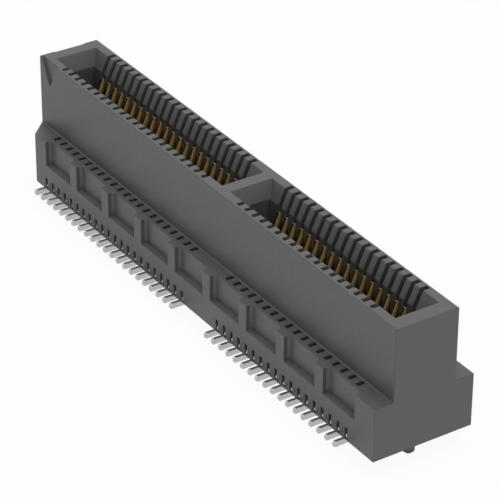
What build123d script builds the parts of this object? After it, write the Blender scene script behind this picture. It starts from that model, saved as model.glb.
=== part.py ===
# Vertical surface-mount card edge connector, in millimetres
#
# The frame: X runs along the card slot, Y across it and Z up from the circuit board.
# The origin lies on the board plane, in the middle of the moulded housing.
# The far end (low X) carries the pin-one marks, and the low Y side is the front.
# One moulded housing holds two rows of stamped contacts. Each contact node holds
# two neighbouring contacts of one row, as separate solids.

import os

from build123d import *

# Contact array
pitch = 0.635
far_bay_contacts = 22
near_bay_contacts = 18
key_pitches = 5
contacts_per_node = 2

# The card that the connector takes
card_thickness = 1.57
card_clearance = 0.05

# Housing envelope, with heights above the board
stand_off = 0.14
end_margin = 2.12
tower_width = 3.44
tower_top = 6.83
ledge_width = 1.03
ledge_height = 2.94
tower_foot_radius = 0.05
rim_chamfer = 0.04

# Card bays
end_wall = 0.79
key_wall = 0.69
lead_in_side = 0.395
lead_in_end = 0.385
lead_in_depth = 0.84
slot_floor = 1.44

# Contact grooves in the bay walls, and what leads down from them
groove_side_clearance = 0.055
groove_web = 0.14
groove_floor = 2.14
leg_clearance = 0.02

# Mould openings in the ledges, one beside each contact
opening_length = 0.44
opening_width = 0.25
opening_foot_gap = 0.06
opening_depth = 1.20

# Tail channels under the housing, which show as notches in its long sides
channel_side_clearance = 0.03
channel_top = 0.81

# Pockets in the long sides, open to the ledge above them
pocket_pitches = 5
pocket_first_contact = 3
pocket_rib = 0.665
pocket_depth = 0.33
pocket_bevel_depth = 0.14
pocket_bevel_width = 0.09
pocket_sill = 1.57

# Locating pegs
peg_diameter = 0.61
peg_length = 1.04
peg_end_distance = 1.035
peg_chamfer = 0.12

# Pin-one triangle in the front of the tower, and the relief in its far end
mark_side = 1.66
mark_height = 1.45
mark_depth = 0.14
mark_end_distance = 0.96
relief_outer_width = 2.10
relief_inner_width = 1.58
relief_depth = 0.10

# Contacts, stamped from sheet with their whole profile in the plane of the sheet.
# The crown gap is the one between the corners of the crowns before they are rounded.
sheet_thickness = 0.16
foot_reach = 0.705
foot_height = 0.31
foot_chamfer = 0.07
heel_inset = 0.13
heel_slope = 0.12
riser_inset = 0.06
run_bottom = 0.16
run_top = 0.43
leg_distance = 1.33
leg_width = 0.26
beam_root = 2.34
crown_gap = 0.72
crown_height = 4.80
crown_width = 0.285
crown_radius = 0.25
tip_distance = 0.715
tip_height = 5.76
tip_width = 0.17

# A cut reaches this far past the surface that it trims
overcut = 0.20

# Places along the card slot
row_pitches = far_bay_contacts + near_bay_contacts - 2 + key_pitches
row_span = pitch * row_pitches
far_bay_x = [-row_span / 2 + pitch * i for i in range(far_bay_contacts)]
near_bay_x = [row_span / 2 - pitch * i for i in reversed(range(near_bay_contacts))]
contact_x = far_bay_x + near_bay_x
key_x = (far_bay_x[-1] + near_bay_x[0]) / 2
housing_length = row_span + 2 * end_margin
far_end = -housing_length / 2
near_end = housing_length / 2
bays = [
    (far_end + end_wall, key_x - key_wall / 2),
    (key_x + key_wall / 2, near_end - end_wall),
]

# Places across the card slot
rows = (-1, 1)
base_width = tower_width + 2 * ledge_width
slot_width = card_thickness + card_clearance
lead_in_bottom = tower_top - lead_in_depth
groove_back = tower_width / 2 - groove_web
groove_width = sheet_thickness + 2 * groove_side_clearance
leg_inner = leg_distance - leg_width / 2
leg_outer = leg_distance + leg_width / 2
passage_inner = leg_inner - leg_clearance
passage_outer = leg_outer + leg_clearance
channel_width = sheet_thickness + 2 * channel_side_clearance
opening_inner = tower_width / 2 + opening_foot_gap


def band_middles(inner, outer):
    """Middles, in plan and at each contact, of a band between two distances from the slot."""
    return [(x, side * (inner + outer) / 2) for x in contact_x for side in rows]


# Housing: one moulding with its base, tower, pegs, pockets, card bays and contact grooves
underside = Plane.XY.offset(stand_off)

with BuildPart() as housing:
    with BuildSketch(underside):
        Rectangle(housing_length, base_width)
    extrude(amount=ledge_height - stand_off)
    far_corners = housing.edges().filter_by(Axis.Z).group_by(Axis.X)[0]
    chamfer(far_corners.sort_by(Axis.Y)[0], length=ledge_width)

    with BuildSketch(Plane.XY.offset(ledge_height)):
        Rectangle(housing_length, tower_width)
    extrude(amount=tower_top - ledge_height)
    tower_foot = (
        housing.edges()
        .filter_by(Axis.X)
        .filter_by_position(Axis.Z, ledge_height, ledge_height)
        .filter_by_position(Axis.Y, -tower_width / 2, tower_width / 2)
    )
    fillet(tower_foot, radius=tower_foot_radius)
    chamfer(housing.faces().sort_by(Axis.Z)[-1].edges(), length=rim_chamfer)

    # Pin-one triangle, pointing down from the rim
    mark_x = far_end + mark_end_distance
    with BuildSketch(Plane.XZ.offset(tower_width / 2)):
        with BuildLine():
            Polyline(
                (mark_x - mark_side / 2, tower_top),
                (mark_x + mark_side / 2, tower_top),
                (mark_x, tower_top - mark_height),
                close=True,
            )
        make_face()
    extrude(amount=-mark_depth, mode=Mode.SUBTRACT)

    # Shallow relief in the far end of the tower
    with BuildSketch(Plane.XY.offset(ledge_height)):
        with BuildLine():
            Polyline(
                (far_end, -relief_outer_width / 2),
                (far_end + relief_depth, -relief_inner_width / 2),
                (far_end + relief_depth, relief_inner_width / 2),
                (far_end, relief_outer_width / 2),
                close=True,
            )
        make_face()
    extrude(amount=tower_top - ledge_height, mode=Mode.SUBTRACT)

    # Locating pegs under both ends
    with BuildSketch(underside):
        with Locations((far_end + peg_end_distance, 0), (near_end - peg_end_distance, 0)):
            Circle(peg_diameter / 2)
    extrude(amount=-peg_length)
    peg_tips = housing.edges().filter_by(GeomType.CIRCLE).group_by(Axis.Z)[0]
    chamfer(peg_tips, length=peg_chamfer)

    # Pockets with bevelled inner corners, drawn in plan
    pocket_count = (row_pitches - pocket_first_contact + 1) // pocket_pitches + 1
    pocket_half = (pocket_pitches * pitch - pocket_rib) / 2
    pocket_back = base_width / 2 - pocket_depth
    with BuildSketch(Plane.XY.offset(pocket_sill)):
        for place in range(pocket_count):
            pocket_x = contact_x[0] + pitch * (pocket_first_contact - 1 + pocket_pitches * place)
            for side in rows:
                with BuildLine():
                    Polyline(
                        (pocket_x - pocket_half, side * (base_width / 2 + overcut)),
                        (pocket_x - pocket_half, side * (pocket_back + pocket_bevel_depth)),
                        (pocket_x - pocket_half + pocket_bevel_width, side * pocket_back),
                        (pocket_x + pocket_half - pocket_bevel_width, side * pocket_back),
                        (pocket_x + pocket_half, side * (pocket_back + pocket_bevel_depth)),
                        (pocket_x + pocket_half, side * (base_width / 2 + overcut)),
                        close=True,
                    )
                make_face()
    extrude(amount=ledge_height - pocket_sill + overcut, mode=Mode.SUBTRACT)

    # Card bays: a tapered lead-in, then the straight walls that guide the card
    for bay_start, bay_end in bays:
        bay_middle = ((bay_start + bay_end) / 2, 0)
        slot_length = bay_end - bay_start - 2 * lead_in_end
        with BuildSketch(Plane.XY.offset(tower_top)):
            with Locations(bay_middle):
                Rectangle(bay_end - bay_start, slot_width + 2 * lead_in_side)
        with BuildSketch(Plane.XY.offset(lead_in_bottom)):
            with Locations(bay_middle):
                Rectangle(slot_length, slot_width)
        loft(mode=Mode.SUBTRACT)
        with BuildSketch(Plane.XY.offset(slot_floor)):
            with Locations(bay_middle):
                Rectangle(slot_length, slot_width)
        extrude(amount=lead_in_bottom - slot_floor, mode=Mode.SUBTRACT)

    # Mould openings beside the foot of the tower
    with BuildSketch(Plane.XY.offset(ledge_height)):
        with Locations(*band_middles(opening_inner, opening_inner + opening_length)):
            Rectangle(opening_width, opening_length)
    extrude(amount=-opening_depth, mode=Mode.SUBTRACT)

    # Channels that the tails leave by
    with BuildSketch(underside):
        with Locations(*band_middles(passage_inner, base_width / 2 + overcut)):
            Rectangle(channel_width, base_width / 2 + overcut - passage_inner)
    extrude(amount=channel_top - stand_off, mode=Mode.SUBTRACT)

    # Passages that hold the legs of the contacts
    with BuildSketch(underside):
        with Locations(*band_middles(passage_inner, passage_outer)):
            Rectangle(channel_width, passage_outer - passage_inner)
    extrude(amount=groove_floor - stand_off, mode=Mode.SUBTRACT)

    # Contact grooves, open to the slot and through the rim
    with BuildSketch(Plane.XY.offset(groove_floor)):
        with Locations(*band_middles(slot_width / 2 - overcut, groove_back)):
            Rectangle(groove_width, groove_back - slot_width / 2 + overcut)
    extrude(amount=tower_top - groove_floor + overcut, mode=Mode.SUBTRACT)

# One rear contact at X = 0: a flat stamping with a solder foot, a leg and a sprung beam
side_wall = base_width / 2
toe = side_wall + foot_reach
heel = side_wall - heel_inset
riser = side_wall - riser_inset

with BuildPart() as contact:
    with BuildSketch(Plane.YZ) as profile:
        with BuildLine():
            Polyline(
                (toe, foot_height),
                (riser, foot_height),
                (riser, run_top),
                (leg_outer, run_top),
                (leg_outer, beam_root),
                (crown_gap / 2 + crown_width, crown_height),
                (tip_distance + tip_width, tip_height),
                (tip_distance, tip_height),
                (crown_gap / 2, crown_height),
                (leg_inner, beam_root),
                (leg_inner, run_bottom),
                (heel - heel_slope, run_bottom),
                (heel, 0),
                (toe, 0),
                close=True,
            )
        make_face()
        sole_corners = profile.vertices().group_by(Axis.Y)[0]
        toe_top = profile.vertices().group_by(Axis.X)[-1].sort_by(Axis.Y)[-1]
        chamfer([*sole_corners, toe_top], length=foot_chamfer)
        crown_corners = profile.vertices().filter_by_position(Axis.Y, crown_height, crown_height)
        fillet(crown_corners, radius=crown_radius)
    extrude(amount=sheet_thickness / 2, both=True)

# The pieces are written out, one file to a node
os.makedirs("parts", exist_ok=True)
housing.part.label = "housing"
export_step(housing.part, "parts/housing.step")

for row, turn in (("front", 180), ("rear", 0)):
    for first in range(0, len(contact_x), contacts_per_node):
        places = contact_x[first : first + contacts_per_node]
        with BuildPart() as contacts:
            with Locations(*[Location((x, 0, 0), (0, 0, turn)) for x in places]):
                add(contact.part)
        name = f"contacts_{row}_{first + 1:02d}_{first + len(places):02d}"
        contacts.part.label = name
        export_step(contacts.part, f"parts/{name}.step")
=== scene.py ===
"""Looks of a vertical surface-mount card edge connector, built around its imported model.

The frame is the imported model's own, in metres: X runs along the card slot, Y across it and Z up
from the circuit board. Sizes of the connector are given in millimetres, and those of the studio
in metres.
"""

import logging
import math
from dataclasses import dataclass, field
from enum import Enum
from typing import NamedTuple

import bpy
import numpy as np
from mathutils import Matrix, Vector


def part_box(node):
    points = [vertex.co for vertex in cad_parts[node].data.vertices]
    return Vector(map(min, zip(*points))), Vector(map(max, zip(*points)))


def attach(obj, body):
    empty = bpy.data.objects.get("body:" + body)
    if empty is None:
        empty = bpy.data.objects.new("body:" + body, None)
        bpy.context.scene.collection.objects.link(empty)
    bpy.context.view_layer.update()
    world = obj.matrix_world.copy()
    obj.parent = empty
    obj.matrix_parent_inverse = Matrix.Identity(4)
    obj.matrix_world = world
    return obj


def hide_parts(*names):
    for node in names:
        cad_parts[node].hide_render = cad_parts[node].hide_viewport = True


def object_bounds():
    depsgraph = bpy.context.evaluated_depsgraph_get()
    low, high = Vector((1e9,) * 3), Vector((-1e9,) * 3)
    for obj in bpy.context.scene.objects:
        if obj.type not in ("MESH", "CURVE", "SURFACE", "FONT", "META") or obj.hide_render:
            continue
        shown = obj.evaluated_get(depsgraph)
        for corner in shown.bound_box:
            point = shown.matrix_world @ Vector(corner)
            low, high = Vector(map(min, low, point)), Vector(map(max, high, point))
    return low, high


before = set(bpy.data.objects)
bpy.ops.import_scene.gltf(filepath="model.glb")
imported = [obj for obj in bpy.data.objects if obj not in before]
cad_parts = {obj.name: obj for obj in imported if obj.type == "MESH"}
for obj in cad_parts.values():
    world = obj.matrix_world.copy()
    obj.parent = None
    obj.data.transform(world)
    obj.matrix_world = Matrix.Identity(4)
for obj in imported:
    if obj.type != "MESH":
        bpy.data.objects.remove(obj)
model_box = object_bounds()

MM = 0.001
BODY = "root"
PALE_GOLD = "pale_gold"
Triple = tuple[float, float, float]
Colour = Triple
Output = bpy.types.NodeSocket

log = logging.getLogger("connector")


class Row(Enum):
    """The two rows of contacts, each with the sense in which it leaves the slot along Y."""

    FRONT = -1
    REAR = 1


@dataclass(frozen=True)
class Mottle:
    """A pattern of soft random blotches.

    Attributes:
        per_mm: how many blotches there are to the millimetre.
        layers: how many finer layers are added.
        low: the strength at and below which it doesn't show.
        high: the strength at and above which it shows in full.
        share: how much it counts for in full, from 0 to 1.
        stretch: how much tighter it is along X, Y and Z.
    """

    per_mm: float
    layers: float = 2.0
    low: float = 0.3
    high: float = 0.7
    share: float = 1.0
    stretch: Triple = (1.0, 1.0, 1.0)


class ShaderGraph:
    """The node tree of a material or of the sky, with short calls to add and join its nodes."""

    def __init__(self, owner: bpy.types.Material | bpy.types.World) -> None:
        """Starts with an empty tree.

        Args:
            owner: the material or the sky that the tree belongs to.
        """
        owner.use_nodes = True
        self.owner = owner
        self.tree = owner.node_tree
        self.tree.nodes.clear()

    def add(self, kind: str, settings: dict | None = None, **sockets: object) -> bpy.types.Node:
        """Adds one node.

        Args:
            kind: the node's type, without its ShaderNode prefix.
            settings: the node's own properties.
            **sockets: input values or joined outputs, by socket name, with spaces as underscores.

        Returns:
            The new node.
        """
        node = self.tree.nodes.new("ShaderNode" + kind)
        for key, value in (settings or {}).items():
            setattr(node, key, value)
        for key, value in sockets.items():
            self.join(node, key.replace("_", " "), value)
        return node

    def join(self, node: bpy.types.Node, socket: str | int, value: object) -> None:
        """Gives an input its value, or joins an output to it.

        Args:
            node: the node that has the input.
            socket: the input's name or number.
            value: a number, a colour, three numbers or another node's output.
        """
        target = node.inputs[socket]
        if isinstance(value, Output):
            self.tree.links.new(value, target)
        elif target.type == "RGBA":
            target.default_value = (*value, 1.0)
        else:
            target.default_value = value

    def maths(self, operation: str, *values: object) -> Output:
        """Adds one step of arithmetic.

        Args:
            operation: the operation's name, such as MULTIPLY.
            *values: its numbers or outputs, in order.

        Returns:
            The result's output.
        """
        node = self.add("Math", {"operation": operation})
        for place, value in enumerate(values):
            self.join(node, place, value)
        return node.outputs[0]

    def blend(self, share: object, first: object, second: object) -> Output:
        """Mixes two colours.

        The node's sockets for colours share their names with its others, so they go by number.

        Args:
            share: how much of the second colour shows, from 0 to 1.
            first: the colour at a share of 0.
            second: the colour at a share of 1.

        Returns:
            The mixed colour's output.
        """
        node = self.add("Mix", {"data_type": "RGBA"})
        for place, value in ((0, share), (6, first), (7, second)):
            self.join(node, place, value)
        return node.outputs[2]

    def ramp(self, value: object, low: float, high: float,
             start: float = 0.0, end: float = 1.0) -> Output:
        """Carries a value smoothly from one range to another, and stops at its ends.

        Args:
            value: the value's output.
            low: the value where the result is start.
            high: the value where the result is end.
            start: the result at and below low.
            end: the result at and above high.

        Returns:
            The result's output.
        """
        node = self.add("MapRange", {"interpolation_type": "SMOOTHSTEP"}, Value=value)
        for place, number in enumerate((low, high, start, end), start=1):
            self.join(node, place, number)
        return node.outputs[0]

    def millimetres(self, stretch: Triple = (1.0, 1.0, 1.0)) -> Output:
        """Gives the place on the piece, in millimetres of its own frame.

        Args:
            stretch: what the millimetres along X, Y and Z are multiplied by.

        Returns:
            The place's output.
        """
        place = self.add("TexCoord")
        scale = tuple(step / MM for step in stretch)
        return self.add("Mapping", Vector=place.outputs["Object"], Scale=scale).outputs[0]

    def noise(self, mottle: Mottle) -> Output:
        """Gives the strength of a mottle at each place.

        Args:
            mottle: the pattern.

        Returns:
            The strength's output, about 0.5 on average.
        """
        place = self.millimetres(mottle.stretch)
        texture = self.add("TexNoise", Vector=place, Scale=mottle.per_mm, Detail=mottle.layers)
        return texture.outputs[0]

    def blotches(self, mottle: Mottle) -> Output:
        """Gives how much a mottle shows at each place.

        Args:
            mottle: the pattern.

        Returns:
            The amount's output, from 0 to the mottle's share.
        """
        return self.ramp(self.noise(mottle), mottle.low, mottle.high, 0.0, mottle.share)

    def seen(self) -> Output:
        """Tells the rays of the lens, of mirror-like surfaces and of glass from all others.

        Returns:
            An output that is 1 for such a ray and 0 for any other.
        """
        ray = self.add("LightPath").outputs
        mirrored = self.maths("ADD", ray["Is Glossy Ray"], ray["Is Transmission Ray"])
        return self.maths("MINIMUM", self.maths("ADD", ray["Is Camera Ray"], mirrored), 1.0)

    def finish(self, surface: bpy.types.Node, output: str = "OutputMaterial") -> bpy.types.ID:
        """Joins the last shader node to the tree's output.

        Args:
            surface: the last shader node.
            output: the output node's type, without its ShaderNode prefix.

        Returns:
            The finished material or sky.
        """
        self.add(output, Surface=surface.outputs[0])
        return self.owner


@dataclass(frozen=True)
class MouldedPlastic:
    """Black glass-filled plastic with a fine spark-eroded grain, as it leaves the mould.

    Refraction and gloss are the shader's IOR and specular level.
    """

    body: Colour = (0.086, 0.0865, 0.0865)
    fibre: Colour = (0.120, 0.120, 0.118)
    fibres: Mottle = Mottle(9.0, layers=4.0, low=0.52, high=0.78, share=0.22, stretch=(0.35, 1.0, 1.0))
    clouds: Mottle = Mottle(0.35, layers=1.0, share=0.12)
    coarse_grain: Mottle = Mottle(12.0)
    fine_grain: Mottle = Mottle(40.0, share=0.5)
    grain_depth: float = 0.0012
    grain_strength: float = 0.6
    roughness: float = 0.50
    roughness_swing: float = 0.10
    edge_radius: float = 0.06
    edge_samples: int = 4
    refraction: float = 1.5
    gloss: float = 0.6

    def material(self) -> bpy.types.Material:
        """Builds the material.

        The colour is the body's with short pale fibres drawn out along the slot, the grain is two
        sizes of noise in the bump, and a small radius softens the moulded edges.

        Returns:
            The material.
        """
        graph = ShaderGraph(bpy.data.materials.new("moulded_plastic"))
        share = graph.maths("ADD", graph.blotches(self.fibres), graph.blotches(self.clouds))
        colour = graph.blend(share, self.body, self.fibre)
        coarse = graph.noise(self.coarse_grain)
        fine = graph.noise(self.fine_grain)
        height = graph.maths("MULTIPLY_ADD", fine, self.fine_grain.share, coarse)
        half_swing = self.roughness_swing / 2
        rough = graph.ramp(coarse, self.coarse_grain.low, self.coarse_grain.high,
                           self.roughness - half_swing, self.roughness + half_swing)
        soft_edge = graph.add("Bevel", {"samples": self.edge_samples}, Radius=self.edge_radius * MM)
        bump = graph.add("Bump", Height=height, Distance=self.grain_depth * MM,
                         Strength=self.grain_strength, Normal=soft_edge.outputs[0])
        shader = graph.add("BsdfPrincipled", Base_Color=colour, Roughness=rough,
                           Normal=bump.outputs[0], IOR=self.refraction,
                           Specular_IOR_Level=self.gloss)
        return graph.finish(shader)


@dataclass(frozen=True)
class PlatedSheet:
    """Bronze sheet, plated with gold in the slot, nickel below it and dull tin on the feet.

    Where the gold shows in full, the flat sides of the sheet are pale and satin. The sheared edges
    are mirror-like and painted dark bronze as shade, and the same painted shade darkens the crown's
    back.
    """

    tin: Colour = (0.48, 0.495, 0.505)
    tin_shade: Colour = (0.38, 0.39, 0.41)
    nickel: Colour = (0.42, 0.40, 0.36)
    gold_side: Colour = (0.77, 0.55, 0.23)
    # Painted shade: dark bronze for the sheared edges and the crown's back.
    gold_edge_and_painted_shade: Colour = (0.18, 0.12, 0.06)
    tin_top: float = 1.14
    gold_bottom: float = 2.74
    border: float = 0.15
    border_wobble: Mottle = Mottle(3.0)
    crystals: Mottle = Mottle(22.0, layers=3.0, low=0.35, high=0.65, share=0.18)
    rolling: Mottle = Mottle(12.0, stretch=(6.0, 0.6, 0.6))
    rolling_depth: float = 0.0008
    rolling_strength: float = 0.4
    tin_roughness: float = 0.28
    side_roughness: float = 0.50
    edge_roughness: float = 0.30
    side_metal: float = 0.30

    def material(self) -> bpy.types.Material:
        """Builds the material, whose plating changes with the height above the board.

        Returns:
            The material.
        """
        graph = ShaderGraph(bpy.data.materials.new("plated_sheet"))
        pale = graph.add("Attribute", {"attribute_name": PALE_GOLD}).outputs["Fac"]
        height = graph.add("SeparateXYZ", Vector=graph.millimetres()).outputs["Z"]
        level = graph.maths("MULTIPLY_ADD", graph.noise(self.border_wobble), self.border, height)
        over_tin = graph.ramp(level, self.tin_top, self.tin_top + self.border)
        in_gold = graph.ramp(level, self.gold_bottom, self.gold_bottom + self.border)
        dull = graph.blend(graph.blotches(self.crystals), self.tin, self.tin_shade)
        lower = graph.blend(over_tin, dull, self.nickel)
        # Where pale is low, the gold takes the dark painted-shade colour.
        gold = graph.blend(pale, self.gold_edge_and_painted_shade, self.gold_side)
        colour = graph.blend(in_gold, lower, gold)
        satin = graph.ramp(pale, 0.0, 1.0, self.edge_roughness, self.side_roughness)
        gold_rough = graph.maths("MULTIPLY", satin, in_gold)
        tin_rough = graph.ramp(in_gold, 0.0, 1.0, self.tin_roughness, 0.0)
        pale_gold = graph.maths("MULTIPLY", pale, in_gold)
        metal = graph.ramp(pale_gold, 0.0, 1.0, 1.0, self.side_metal)
        bump = graph.add("Bump", Height=graph.noise(self.rolling),
                         Distance=self.rolling_depth * MM, Strength=self.rolling_strength)
        shader = graph.add("BsdfPrincipled", Base_Color=colour, Metallic=metal,
                           Roughness=graph.maths("ADD", gold_rough, tin_rough),
                           Normal=bump.outputs[0])
        return graph.finish(shader)


@dataclass(frozen=True)
class PaleFloor:
    """Plain white studio floor that shows bright to the lens and keeps a soft shadow."""

    colour: Colour = (0.95, 0.95, 0.95)
    shown: Colour = (1.0, 1.0, 1.0)
    shadow_share: float = 0.06

    def material(self) -> bpy.types.Material:
        """Builds the material.

        Light that bounces on to the object comes from a plain diffuse floor. What the lens and
        mirror-like surfaces see is mostly the shown colour, with a share of the lit floor in it.

        Returns:
            The material.
        """
        graph = ShaderGraph(bpy.data.materials.new("pale_floor"))
        matt = graph.add("BsdfDiffuse", Color=self.colour)
        shown = graph.add("Emission", Color=self.shown)
        share = graph.maths("MULTIPLY", graph.seen(), 1.0 - self.shadow_share)
        mixed = graph.add("MixShader", Fac=share)
        graph.join(mixed, 1, matt.outputs[0])
        graph.join(mixed, 2, shown.outputs[0])
        return graph.finish(mixed)


@dataclass(frozen=True)
class SoftSky:
    """Even white sky that lights the object dimly and shows bright to the lens."""

    colour: Colour = (1.0, 1.0, 1.0)
    strength: float = 0.37
    shown: float = 1.0

    def world(self) -> bpy.types.World:
        """Builds the sky.

        The lens and mirror-like surfaces see the shown strength, and all else is lit by the other.

        Returns:
            The sky.
        """
        graph = ShaderGraph(bpy.data.worlds.new("soft_sky"))
        extra = self.shown - self.strength
        strength = graph.maths("MULTIPLY_ADD", graph.seen(), extra, self.strength)
        background = graph.add("Background", Color=self.colour, Strength=strength)
        return graph.finish(background, "OutputWorld")


class Corner(NamedTuple):
    """A corner of an outline, rounded to its radius.

    Gold is how much of the pale gold shows on the flat side beside the corner, from 0 to 1.
    """

    across: float
    up: float
    radius: float
    gold: float = 1.0


def turned(arms: np.ndarray, angles: np.ndarray) -> np.ndarray:
    """Turns each arm by each of its angles.

    Args:
        arms: one (across, up) arm to a row.
        angles: each arm's angles in radians, one row to an arm.

    Returns:
        The turned arms, as arms x angles x 2.
    """
    across, up = arms[:, :1], arms[:, 1:]
    cos, sin = np.cos(angles), np.sin(angles)
    return np.stack([across * cos - up * sin, across * sin + up * cos], axis=-1)


@dataclass
class RoundedOutline:
    """A closed outline of straight runs joined by arcs.

    Attributes:
        corners: the corners in order, against the clock.
        arc_steps: how many steps an arc is divided into.
        points: the outline's points, as (across, up) rows.
        outward: the outward direction at each point.
        gold: how much pale gold shows beside each point.
    """

    corners: list[Corner]
    arc_steps: int = 4
    points: np.ndarray = field(init=False)
    outward: np.ndarray = field(init=False)
    gold: np.ndarray = field(init=False)

    def __post_init__(self) -> None:
        """Works out the arcs.

        An arc starts radius x tan(half the turn) before its corner. Its points are its start,
        turned round its centre by equal steps of the turn, and the outward direction of a point
        is its run's heading turned a quarter to the right.
        """
        table = np.array(self.corners)
        places, radii = table[:, :2], table[:, 2]
        runs = np.roll(places, -1, axis=0) - places
        ways = runs / np.linalg.norm(runs, axis=1, keepdims=True)
        before = np.roll(ways, 1, axis=0)
        turn = np.arctan2(
            before[:, 0] * ways[:, 1] - before[:, 1] * ways[:, 0],
            np.sum(before * ways, axis=1),
        )
        starts = places - before * (radii * np.tan(np.abs(turn) / 2))[:, None]
        left = np.stack([-before[:, 1], before[:, 0]], axis=1)
        centres = starts + left * (np.sign(turn) * radii)[:, None]
        angle = turn[:, None] * np.linspace(0, 1, self.arc_steps + 1)
        self.points = (turned(starts - centres, angle) + centres[:, None]).reshape(-1, 2)
        self.outward = turned(-left, angle).reshape(-1, 2)
        self.gold = np.repeat(table[:, 3], self.arc_steps + 1)


@dataclass(frozen=True)
class StampedRim:
    """The rounded edge of a stamped sheet, as rings of points from one flat side to the other.

    Attributes:
        points: the points, as rings x outline x 3.
        normals: the outward direction at each point.
        quads: the faces between the rings, as rows of four point numbers.
        pale: the pale gold at each point, from 0 to 1.
    """

    points: np.ndarray
    normals: np.ndarray
    quads: np.ndarray
    pale: np.ndarray


@dataclass
class ContactBlank:
    """One stamped contact, cut from sheet whose thickness lies along the slot.

    Sizes are in millimetres. Distances across are from the middle of the slot, and heights are
    above the board.
    """

    # Sheet
    thickness: float = 0.16
    edge_radius: float = 0.02
    edge_steps: int = 3

    # Foot
    toe: float = 3.455
    toe_top_radius: float = 0.11
    sole: float = 0.0
    sole_radius: float = 0.10
    foot_top: float = 0.31
    heel: float = 2.62
    heel_slope: float = 0.12

    # Riser and run under the floor of the housing
    riser: float = 2.69
    riser_foot_radius: float = 0.06
    riser_top_radius: float = 0.03
    run_bottom: float = 0.16
    run_top: float = 0.43
    run_radius: float = 0.05

    # Leg, and the bend where the sprung arm leaves it
    leg_inner: float = 1.20
    leg_outer: float = 1.46
    leg_gold: float = 0.0
    root_height: float = 2.34
    root_back_rise: float = 0.04
    root_radius: float = 0.8

    # Crown, whose back is painted darker as shade beside the slot wall
    crown: float = 0.36
    crown_height: float = 4.80
    crown_radius: float = 0.25
    crown_back: float = 0.81
    crown_back_radius: float = 0.2
    crown_back_shaded_gold: float = 0.14

    # Tip
    tip_front: float = 0.75
    tip_back: float = 0.865
    tip_height: float = 5.72
    tip_radius: float = 0.055

    def outline(self) -> RoundedOutline:
        """Gives the blank's outline, from the toe's top to the riser, the tip, the leg and the sole.

        Returns:
            The outline.
        """
        root_back = self.root_height + self.root_back_rise
        return RoundedOutline([
            Corner(self.toe, self.foot_top, self.toe_top_radius),
            Corner(self.riser, self.foot_top, self.riser_foot_radius),
            Corner(self.riser, self.run_top, self.riser_top_radius),
            Corner(self.leg_outer, self.run_top, self.run_radius, self.leg_gold),
            Corner(self.leg_outer, root_back, self.root_radius, self.leg_gold),
            # The crown's back corner carries painted shade.
            Corner(self.crown_back, self.crown_height, self.crown_back_radius, self.crown_back_shaded_gold),
            Corner(self.tip_back, self.tip_height, self.tip_radius),
            Corner(self.tip_front, self.tip_height, self.tip_radius),
            Corner(self.crown, self.crown_height, self.crown_radius),
            Corner(self.leg_inner, self.root_height, self.root_radius, self.leg_gold),
            Corner(self.leg_inner, self.run_bottom, self.run_radius, self.leg_gold),
            Corner(self.heel - self.heel_slope, self.run_bottom, self.sole_radius),
            Corner(self.heel, self.sole, self.sole_radius),
            Corner(self.toe, self.sole, self.sole_radius),
        ])

    def rim(self) -> StampedRim:
        """Carries the outline along X, with both its edges rounded by the edge radius r.

        At angle a of an edge, the outline is drawn in by r (1 - cos a) and X is
        half the thickness - r (1 - sin a), on either side. The pale gold is sin² a of the
        share beside the point, so none on a sheared edge, whose dark bronze is painted shade.

        Returns:
            The rim.
        """
        outline = self.outline()
        quarter = np.linspace(0, math.pi / 2, self.edge_steps + 1)
        angle = np.concatenate([-quarter[::-1], quarter])[:, None]
        side = np.repeat([-1.0, 1.0], len(quarter))[:, None]
        reach = self.thickness / 2 - self.edge_radius
        along = side * reach + self.edge_radius * np.sin(angle)
        inset = self.edge_radius * (1 - np.cos(angle))
        level = np.ones(len(outline.points))
        points = np.stack([
            along * level,
            outline.points[:, 0] - inset * outline.outward[:, 0],
            outline.points[:, 1] - inset * outline.outward[:, 1],
        ], axis=-1)
        normals = np.stack([
            np.sin(angle) * level,
            np.cos(angle) * outline.outward[:, 0],
            np.cos(angle) * outline.outward[:, 1],
        ], axis=-1)
        rings, section = points.shape[:2]
        here = np.arange(section)
        after = (here + 1) % section
        start = np.arange(rings - 1)[:, None] * section
        following = start + section
        quads = np.stack([start + here, start + after, following + after, following + here], -1)
        pale = np.sin(angle) ** 2 * outline.gold
        return StampedRim(points, normals, quads.reshape(-1, 4), pale)


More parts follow.
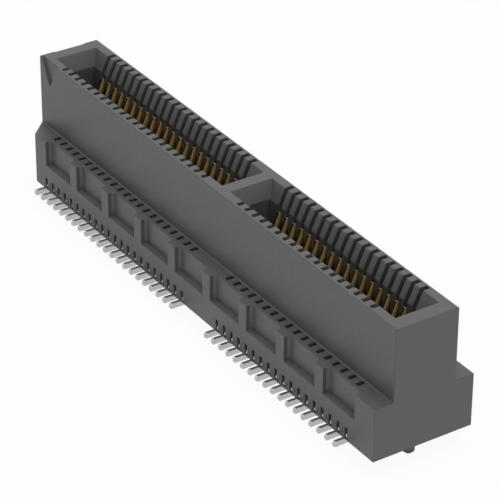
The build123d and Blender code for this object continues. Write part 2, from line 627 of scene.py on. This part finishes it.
@dataclass
class ContactPair:
    """The neighbouring contacts of one row that share a node of the model."""

    node: str
    row: Row
    blank: ContactBlank

    def places(self) -> np.ndarray:
        """Gives the X of each contact, in metres, from the ends of the node's box.

        Returns:
            The X of the first and of the last contact.
        """
        low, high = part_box(self.node)
        half = self.blank.thickness / 2 * MM
        return np.array([low.x + half, high.x - half])

    def mesh(self, finish: bpy.types.Material) -> bpy.types.Mesh:
        """Makes both contacts, each a smooth rim closed by one flat side at either end.

        A contact of the front row is the rear one turned half round about Z.

        Args:
            finish: the plated sheet's material.

        Returns:
            The mesh.
        """
        rim = self.blank.rim()
        rings, section = rim.points.shape[:2]
        count = rings * section
        turn = np.array([self.row.value, self.row.value, 1.0])
        shape = rim.points.reshape(-1, 3) * turn * MM
        facing = rim.normals.reshape(-1, 3) * turn
        first_ring = np.arange(section)
        flat_sides = (first_ring[::-1], first_ring + count - section)
        verts, faces, smooth = [], [], []
        for number, place in enumerate(self.places()):
            verts.append(shape + (place, 0.0, 0.0))
            faces.extend((rim.quads + number * count).tolist())
            faces.extend((side + number * count).tolist() for side in flat_sides)
            smooth.extend([True] * len(rim.quads) + [False] * len(flat_sides))
        mesh = bpy.data.meshes.new(self.node.replace("contacts", "plated_contacts"))
        mesh.from_pydata(np.vstack(verts), [], faces)
        mesh.polygons.foreach_set("use_smooth", smooth)
        mesh.materials.append(finish)
        mesh.update()
        mesh.normals_split_custom_set_from_vertices(np.tile(facing, (len(verts), 1)))
        pale = mesh.attributes.new(PALE_GOLD, "FLOAT", "POINT")
        pale.data.foreach_set("value", np.tile(rim.pale.ravel(), len(verts)))
        return mesh

    def build(self, finish: bpy.types.Material) -> bpy.types.Object:
        """Makes the pair as one piece and puts it in the node's place.

        Args:
            finish: the plated sheet's material.

        Returns:
            The new piece.
        """
        mesh = self.mesh(finish)
        piece = bpy.data.objects.new(mesh.name, mesh)
        bpy.context.scene.collection.objects.link(piece)
        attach(piece, BODY)
        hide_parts(self.node)
        return piece


@dataclass
class ContactRows:
    """Both rows of contacts, node by node."""

    blank: ContactBlank = field(default_factory=ContactBlank)
    finish: PlatedSheet = PlatedSheet()

    def build(self) -> list[bpy.types.Object]:
        """Makes every pair of contacts.

        Returns:
            The pieces.
        """
        material = self.finish.material()
        pieces = []
        for row in Row:
            prefix = f"contacts_{row.name.lower()}_"
            for node in sorted(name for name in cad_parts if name.startswith(prefix)):
                pieces.append(ContactPair(node, row, self.blank).build(material))
        return pieces


@dataclass
class Housing:
    """The moulded housing, which keeps the model's own shape."""

    node: str = "housing"
    finish: MouldedPlastic = MouldedPlastic()

    def dress(self) -> bpy.types.Object:
        """Gives the housing its finish.

        Returns:
            The housing's object.
        """
        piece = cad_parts[self.node]
        material = self.finish.material()
        piece.data.materials.clear()
        piece.data.materials.append(material)
        return piece


def direction(azimuth: float, elevation: float) -> Vector:
    """Gives the unit vector towards a bearing.

    Args:
        azimuth: degrees from +X towards +Y.
        elevation: degrees up from the board.

    Returns:
        The vector.
    """
    turn, rise = math.radians(azimuth), math.radians(elevation)
    level = math.cos(rise)
    return Vector((level * math.cos(turn), level * math.sin(turn), math.sin(rise)))


@dataclass(frozen=True)
class SoftLamp:
    """One large soft lamp, with its bearing in degrees, its power in watts and sizes in metres."""

    name: str
    azimuth: float
    elevation: float
    power: float
    size: float = 0.30
    distance: float = 0.45

    def hang(self, aim: Vector) -> bpy.types.Object:
        """Hangs the lamp on its side of the object.

        Args:
            aim: the place that it points at.

        Returns:
            The lamp.
        """
        lamp = bpy.data.lights.new(self.name, "AREA")
        lamp.shape = "DISK"
        lamp.size = self.size
        lamp.energy = self.power
        piece = bpy.data.objects.new(self.name, lamp)
        way = direction(self.azimuth, self.elevation)
        piece.location = aim + way * self.distance
        piece.rotation_euler = way.to_track_quat("Z", "Y").to_euler()
        bpy.context.scene.collection.objects.link(piece)
        return piece


@dataclass(frozen=True)
class PhotoView:
    """The camera where the photograph was taken from.

    Angles are in degrees, the lens and its sensor in millimetres, and all else in metres.
    """

    azimuth: float = -33.47
    elevation: float = 30.87
    roll: float = 0.34
    distance: float = 0.13021
    target: Triple = (0.001551, 0.0, 0.003178)
    lens: float = 193.72
    sensor_width: float = 36.0
    clip_start: float = 0.005
    clip_end: float = 20.0

    def set_up(self) -> bpy.types.Object:
        """Puts the camera on its bearing from the target, rolls it and makes it the scene's.

        Returns:
            The camera.
        """
        data = bpy.data.cameras.new("photo_view")
        data.lens = self.lens
        data.sensor_width = self.sensor_width
        data.clip_start = self.clip_start
        data.clip_end = self.clip_end
        camera = bpy.data.objects.new("photo_view", data)
        back = direction(self.azimuth, self.elevation)
        level = Vector((0, 0, 1)).cross(back).normalized()
        upright = back.cross(level)
        roll = math.radians(self.roll)
        right = level * math.cos(roll) + upright * math.sin(roll)
        up = back.cross(right)
        matrix = Matrix((right, up, back)).transposed().to_4x4()
        matrix.translation = Vector(self.target) + back * self.distance
        camera.matrix_world = matrix
        bpy.context.scene.collection.objects.link(camera)
        bpy.context.scene.camera = camera
        return camera


@dataclass
class Studio:
    """The pale floor, the soft light and the camera."""

    floor_finish: PaleFloor = PaleFloor()
    floor_half: float = 3.0
    sky: SoftSky = SoftSky()
    lamps: tuple[SoftLamp, ...] = (
        SoftLamp("lamp_overhead", azimuth=0, elevation=90, power=0.80),
        SoftLamp("lamp_end", azimuth=0, elevation=60, power=0.38),
    )
    view: PhotoView = PhotoView()

    def lay_floor(self) -> bpy.types.Object:
        """Lays the floor under the lowest point of the object.

        Returns:
            The floor.
        """
        low = model_box[0][2]
        half = self.floor_half
        mesh = bpy.data.meshes.new("pale_floor")
        mesh.from_pydata(
            [(-half, -half, low), (half, -half, low), (half, half, low), (-half, half, low)],
            [], [(0, 1, 2, 3)],
        )
        mesh.materials.append(self.floor_finish.material())
        floor = bpy.data.objects.new("pale_floor", mesh)
        bpy.context.scene.collection.objects.link(floor)
        return floor

    def light(self) -> list[bpy.types.Object]:
        """Sets the sky and hangs the lamps, aimed at what the camera looks at.

        Returns:
            The lamps.
        """
        bpy.context.scene.world = self.sky.world()
        return [lamp.hang(Vector(self.view.target)) for lamp in self.lamps]


def main() -> None:
    """Builds the housing, the contacts and the studio, and reports each."""
    logging.basicConfig(level=logging.INFO, format="%(message)s")
    bpy.context.scene.view_settings.view_transform = "Standard"
    housing = Housing().dress()
    log.info("dressed %s", housing.name)
    for piece in ContactRows().build():
        log.info("made %s with %d faces", piece.name, len(piece.data.polygons))
    studio = Studio()
    log.info("laid %s", studio.lay_floor().name)
    for lamp in studio.light():
        log.info("hung %s", lamp.name)
    log.info("set up %s", studio.view.set_up().name)


if __name__ == "__main__":
    main()
